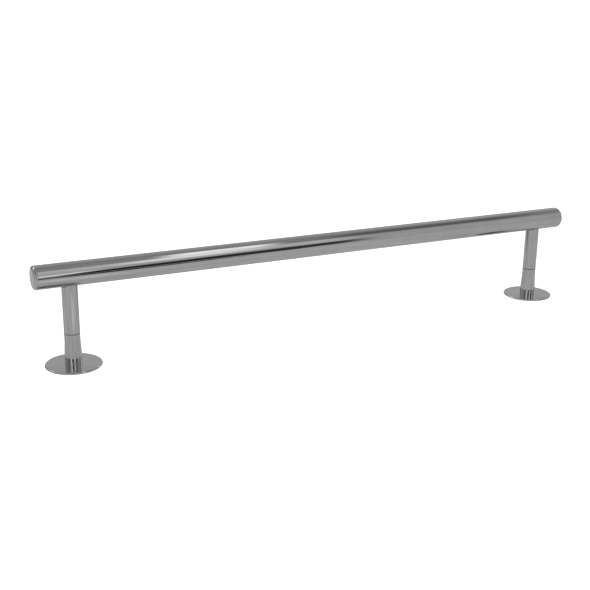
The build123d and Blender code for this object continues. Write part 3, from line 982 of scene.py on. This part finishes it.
def stage_sheet(name: str, corners: Sequence[tuple[float, float]], height: float, paint: Material,
                *hidden: str) -> None:
    """Adds one flat stage sheet that casts no light of its own on the rail.

    Args:
        name: The sheet's name.
        corners: Its corners, along and across the rail, in metres.
        height: Its height in metres.
        paint: Its material.
        hidden: Kinds of light ray that miss it, besides diffuse and shadow.
    """
    mesh = bmesh.new()
    mesh.faces.new([mesh.verts.new((x, y, height)) for x, y in corners])
    made = new_object(name, mesh, paint)
    hide_from(made, "diffuse", "shadow", *hidden)


@dataclass
class Bench:
    """The grey felt bench that the steel mirrors. Its light is a painted glow, with painted shade behind the
    rail and at the feet and a painted pool of light.
    """

    level: float = 0.46  # painted glow, besides the light that falls on the felt
    felt: str = "#6A6A6A"
    height: float = -0.0004  # metres
    behind_level: float = 0.40  # share of the painted glow that is left well behind the rail, a painted shade
    behind: tuple[float, float] = (0.02, 0.13)  # metres, where it falls off
    behind_right: tuple[float, float] = (0.0, 0.16)  # metres, where the dim strip ends on the right
    behind_end: tuple[float, float] = (-0.39, -0.35)  # metres, where the dim strip starts on the left
    # painted shade round each post's foot
    foot_shade: float = 0.08
    foot_reach: tuple[float, float] = (0.05, 0.16)  # metres from a post, where the shade fades
    glare: float = 0.18  # painted pool of light on the felt before the left post
    glare_place: tuple[float, float] = (-0.248, -0.195)
    glare_reach: tuple[float, float] = (0.03, 0.115)
    mottle: float = 0.13  # unevenness of the felt's nap
    mottle_size: float = 0.055  # metres
    mottle_span: tuple[float, float] = (0.25, 0.75)
    corners: tuple[tuple[float, float], ...] = (
        (-9, -0.48), (-0.04, -0.48), (0.16, -0.60), (0.30, -0.85), (0.45, -1.6), (0.7, -9),
        (9, -9), (9, 9), (-9, 9),
    )

    def build(self) -> None:
        """Lays the bench, seen only in the steel."""
        paint, node = new_material("grey_felt_bench_painted_light")
        point = node("TexCoord", output="Object")
        x, y, _ = node("SeparateXYZ", (point,), None)
        # painted shade: the glow falls off behind the rail
        away = node("MapRange", (y, *self.behind, 0.0, 1.0 - self.behind_level), **SOFT)
        begun = node("MapRange", (x, *self.behind_end, 0.0, 1.0), **SOFT)
        ended = node("MapRange", (x, *self.behind_right, 1.0, 0.0), **SOFT)
        strip = node("Math MULTIPLY", (node("Math MULTIPLY", (away, begun)), ended))
        light = node("Math SUBTRACT", (1.0, strip))
        mirrored = node("VectorMath ABSOLUTE", (point,))
        to_foot = (mirrored, (POST_DISTANCE * MM, 0, -self.height))
        off_foot = node("VectorMath DISTANCE", to_foot, "Value")
        # painted shade round each foot
        shade = node("MapRange", (off_foot, *self.foot_reach, 1.0 - self.foot_shade, 1.0), **SOFT)
        off_glare = node("VectorMath DISTANCE", (point, (*self.glare_place, self.height)), "Value")
        # painted pool of light before the left post
        pool = node("MapRange", (off_glare, *self.glare_reach, self.glare, 0.0), **SOFT)
        nap = node("TexNoise", {"Vector": point, "Scale": 1 / self.mottle_size, "Detail": 3.0,
                                "Roughness": 0.6})
        uneven = node("MapRange", (nap, *self.mottle_span, 1 - self.mottle, 1 + self.mottle))
        light = node("Math MULTIPLY", (node("Math MULTIPLY", (light, shade)), uneven))
        light = node("Math MULTIPLY_ADD", (light, self.level, pool))
        matt = node("BsdfDiffuse", {"Color": linear(self.felt)})
        # the felt glows: painted light, not a lamp
        glow = node("Emission", {"Strength": light})
        node("OutputMaterial", (node("AddShader", (matt, glow)),))
        stage_sheet("studio_bench", self.corners, self.height, paint, "camera")


@dataclass(frozen=True)
class StudioPatch:
    """A soft-edged part of the studio's walls that the steel mirrors.

    Around is the angle over the rail in degrees: 0 is the horizon on the hand's side, 90 is
    overhead, 180 the horizon behind. Along is the angle towards +X.
    """

    name: str
    around: float
    around_half: float
    around_edge: float
    along: float
    along_half: float
    along_edge: float
    level: float
    slant: float = 0.0  # degrees around for each degree along


@dataclass
class Studio:
    """A plain pale studio: white floor and background, grey walls with softboxes for the steel."""

    seen_white: float = 1.03
    floor_paint: str = "#E6E6E6"
    floor_half: float = 9.0  # metres
    floor_height: float = -0.0002  # metres
    background_radius: float = 12.0  # metres
    floor_shade: float = 0.22  # how much of the floor's white comes from light that can be shaded
    softbox_size: tuple[float, float] = (2.4, 1.8)  # metres
    softbox_place: tuple[float, float, float] = (-0.3, -0.4, 1.9)
    softbox_tilt: tuple[float, float] = (-12, -9)  # degrees about X and Y
    softbox_power: float = 12.0  # watts
    first_angle: float = -90  # degrees around, where the walls' list starts
    walls: tuple[tuple[float, float], ...] = (
        (-90, 0.50), (-14, 0.50), (-4, 0.50), (46, 0.50), (62, 0.44), (76, 0.33), (100, 0.31),
        (112, 0.31), (122, 0.38), (134, 0.45), (146, 0.42), (153, 0.41),
        (158, 0.48), (165, 0.48), (168.5, 0.32), (174, 0.22), (270, 0.22),
    )
    patches: tuple[tuple[Any, ...], ...] = (  # the fields of a StudioPatch
        ("dim ceiling", 84, 16, 14, 33, 5.5, 4, 0.16),
        ("long softbox", 49, 14, 10, 18.5, 10, 3, 0.66),
        ("long softbox, middle", 52, 9, 10, 19.5, 3.4, 4, 1.22),
        ("high softbox", 77, 14, 8, 21.2, 3.0, 2.2, 1.30),
        ("doorway", 5.5, 17, 8, 19.2, 6.6, 2.6, 0.03, 1.0),
        ("doorway, far side", 15.5, 13, 8, 25.9, 3.5, 3.2, 0.05, 1.6),
        ("doorway's end", -3, 5, 6, 12.5, 3.6, 2, 0.04),
        ("low lamp", 17, 4.5, 5, 11.2, 2.8, 2.6, 1.2, 1.2),
        ("rear lamp", 134, 9, 8, 41, 10, 6, 0.58),
        ("opening, upper left", 50, 18, 9, -20, 12, 6, 0.13),
        ("softbox, left", 58, 10, 9, -58, 12, 6, 1.1),
        ("opening, left", 15, 9, 8, -19.5, 10, 4, 0.08),
        ("front lamp", 17, 6, 6, -1.5, 4.5, 4, 1.0),
        ("side lamp", 24, 8, 6, -38, 4, 3, 1.5),
        ("side opening", 50, 12, 8, -66, 9, 6, 0.12),
        ("rear softbox, left", 128, 13, 8, -22, 22, 8, 1.15),
        ("rear opening, left", 171, 7, 8, -22, 24, 6, 0.06),
        ("rear softbox, right", 128, 13, 8, 57, 11, 6, 1.15),
        ("rear opening, right", 171, 7, 8, 57, 12, 5, 0.06),
    )

    def build(self) -> None:
        """Builds the walls, the floor, the background, the bench and the light."""
        self.light_walls()
        self.lay_floor()
        self.hang_background()
        Bench().build()
        self.hang_softbox()

    def light_walls(self) -> None:
        """Paints the studio's walls in the world, by direction."""
        world = bpy.data.worlds.new("studio_walls")
        bpy.context.scene.world = world
        node = empty_tree(world)
        x, y, z = node("SeparateXYZ", (node("TexCoord", output="Generated"),), None)
        towards_hand = node("Math MULTIPLY", (y, -1.0))
        turn = node("Math DEGREES", (node("Math ARCTAN2", (z, towards_hand)),))
        last_angle = self.first_angle + 360
        around = node("Math WRAP", (turn, last_angle, self.first_angle))
        along = node("Math DEGREES", (node("Math ARCSINE", (x,)),))
        level = node("ValToRGB", (node("MapRange", (around, self.first_angle, last_angle)),))
        ramp = level.node.color_ramp
        ramp.interpolation = "EASE"
        while len(ramp.elements) < len(self.walls):
            ramp.elements.new(0.5)
        for stop, (angle, grey) in zip(ramp.elements, self.walls):
            stop.position = (angle - self.first_angle) / 360
            stop.color = (grey, grey, grey, 1.0)
        for patch in (StudioPatch(*row) for row in self.patches):
            ahead = node("Math SUBTRACT", (along, patch.along))
            middle = node("Math MULTIPLY_ADD", (ahead, patch.slant, patch.around))
            masks = []
            for angle, centre, half, edge in ((around, middle, patch.around_half, patch.around_edge),
                                              (along, patch.along, patch.along_half, patch.along_edge)):
                off = node("Math ABSOLUTE", (node("Math SUBTRACT", (angle, centre)),))
                masks.append(node("MapRange", (off, half - edge / 2, half + edge / 2, 1.0, 0.0), **SOFT))
            inputs = {0: node("Math MULTIPLY", masks), 6: level, 7: (*[patch.level] * 3, 1.0)}
            level = node("Mix", inputs, 2, data_type="RGBA", label=patch.name)
        node("OutputWorld", (node("Background", (level, 1.0)),))

    def lay_floor(self) -> None:
        """Lays the white floor, which is clear from below."""
        paint, node = new_material("white_floor_paint")
        matt = node("BsdfDiffuse", {"Color": linear(self.floor_paint)})
        glow = node("Emission", {"Strength": self.seen_white - self.floor_shade})
        from_below = node("NewGeometry", output="Backfacing")
        surface = node("MixShader", (from_below, node("AddShader", (matt, glow)), node("BsdfTransparent")))
        node("OutputMaterial", (surface,))
        half = self.floor_half
        corners = ((-half, -half), (half, -half), (half, half), (-half, half))
        stage_sheet("studio_floor", corners, self.floor_height, paint, "glossy")

    def hang_background(self) -> None:
        """Hangs the white background, a large drum that only the camera sees."""
        paper, node = new_material("white_background_paper")
        node("OutputMaterial", (node("Emission", {"Strength": self.seen_white}),))
        mesh = bmesh.new()
        bmesh.ops.create_icosphere(mesh, subdivisions=3, radius=self.background_radius)
        drum = new_object("studio_background", mesh, paper)
        hide_from(drum, "diffuse", "glossy", "transmission", "volume_scatter", "shadow")

    def hang_softbox(self) -> None:
        """Hangs one wide softbox overhead, which lights the floor, the felt and the rubber."""
        light = bpy.data.lights.new("overhead_softbox", "AREA")
        light.shape = "RECTANGLE"
        light.size, light.size_y = self.softbox_size
        light.energy = self.softbox_power
        lamp = bpy.data.objects.new("overhead_softbox", light)
        lamp.location = self.softbox_place
        lamp.rotation_euler = (*map(math.radians, self.softbox_tilt), 0)
        bpy.context.scene.collection.objects.link(lamp)
        hide_from(lamp, "glossy", "camera")


@dataclass
class Viewpoint:
    """The camera: slightly above the rail, in front of it and well to its left."""

    yaw: float = -26.463  # degrees, the way round from straight in front
    pitch: float = 17.634  # degrees above the horizon
    roll: float = 0.664
    distance: float = 1163.9  # mm
    aim: tuple[float, float] = (-39.6, 43.2)  # mm along the rail and up, the middle of the view
    lens: float = 61.463  # mm
    sensor: float = 36.0  # mm, square
    reach: tuple[float, float] = (0.01, 200.0)  # metres, the nearest and farthest that it sees

    def build(self) -> None:
        """Sets up the camera and makes it the scene's."""
        yaw, pitch = math.radians(self.yaw), math.radians(self.pitch)
        back = Vector((math.sin(yaw) * math.cos(pitch), -math.cos(yaw) * math.cos(pitch), math.sin(pitch)))
        right = (-back).cross(Vector((0, 0, 1))).normalized()
        right = Matrix.Rotation(math.radians(self.roll), 3, back) @ right
        data = bpy.data.cameras.new("viewpoint")
        data.lens, data.sensor_width = self.lens, self.sensor
        data.clip_start, data.clip_end = self.reach
        camera = bpy.data.objects.new("viewpoint", data)
        aim = Vector((self.aim[0], 0, self.aim[1])) * MM
        axes = Matrix((right, back.cross(right), back)).transposed().to_4x4()
        camera.matrix_world = Matrix.Translation(aim + back * self.distance * MM) @ axes
        bpy.context.scene.collection.objects.link(camera)
        bpy.context.scene.camera = camera
        LOG.info("camera: %.0f mm away, %.1f mm lens", self.distance, self.lens)


def main() -> None:
    """Builds the rail, its supports, the studio and the camera, in that order."""
    logging.basicConfig(level=logging.INFO, format="%(name)s: %(message)s")
    bpy.context.scene.view_settings.view_transform = "Standard"
    finishes = Finishes()
    Rail(finishes).build()
    for side, outward in (("left", -1.0), ("right", 1.0)):
        EndCap(finishes, side, outward).build()
    for side in ("left", "right"):
        Support(finishes, side).build()
    Studio().build()
    Viewpoint().build()


if __name__ == "__main__":
    main()
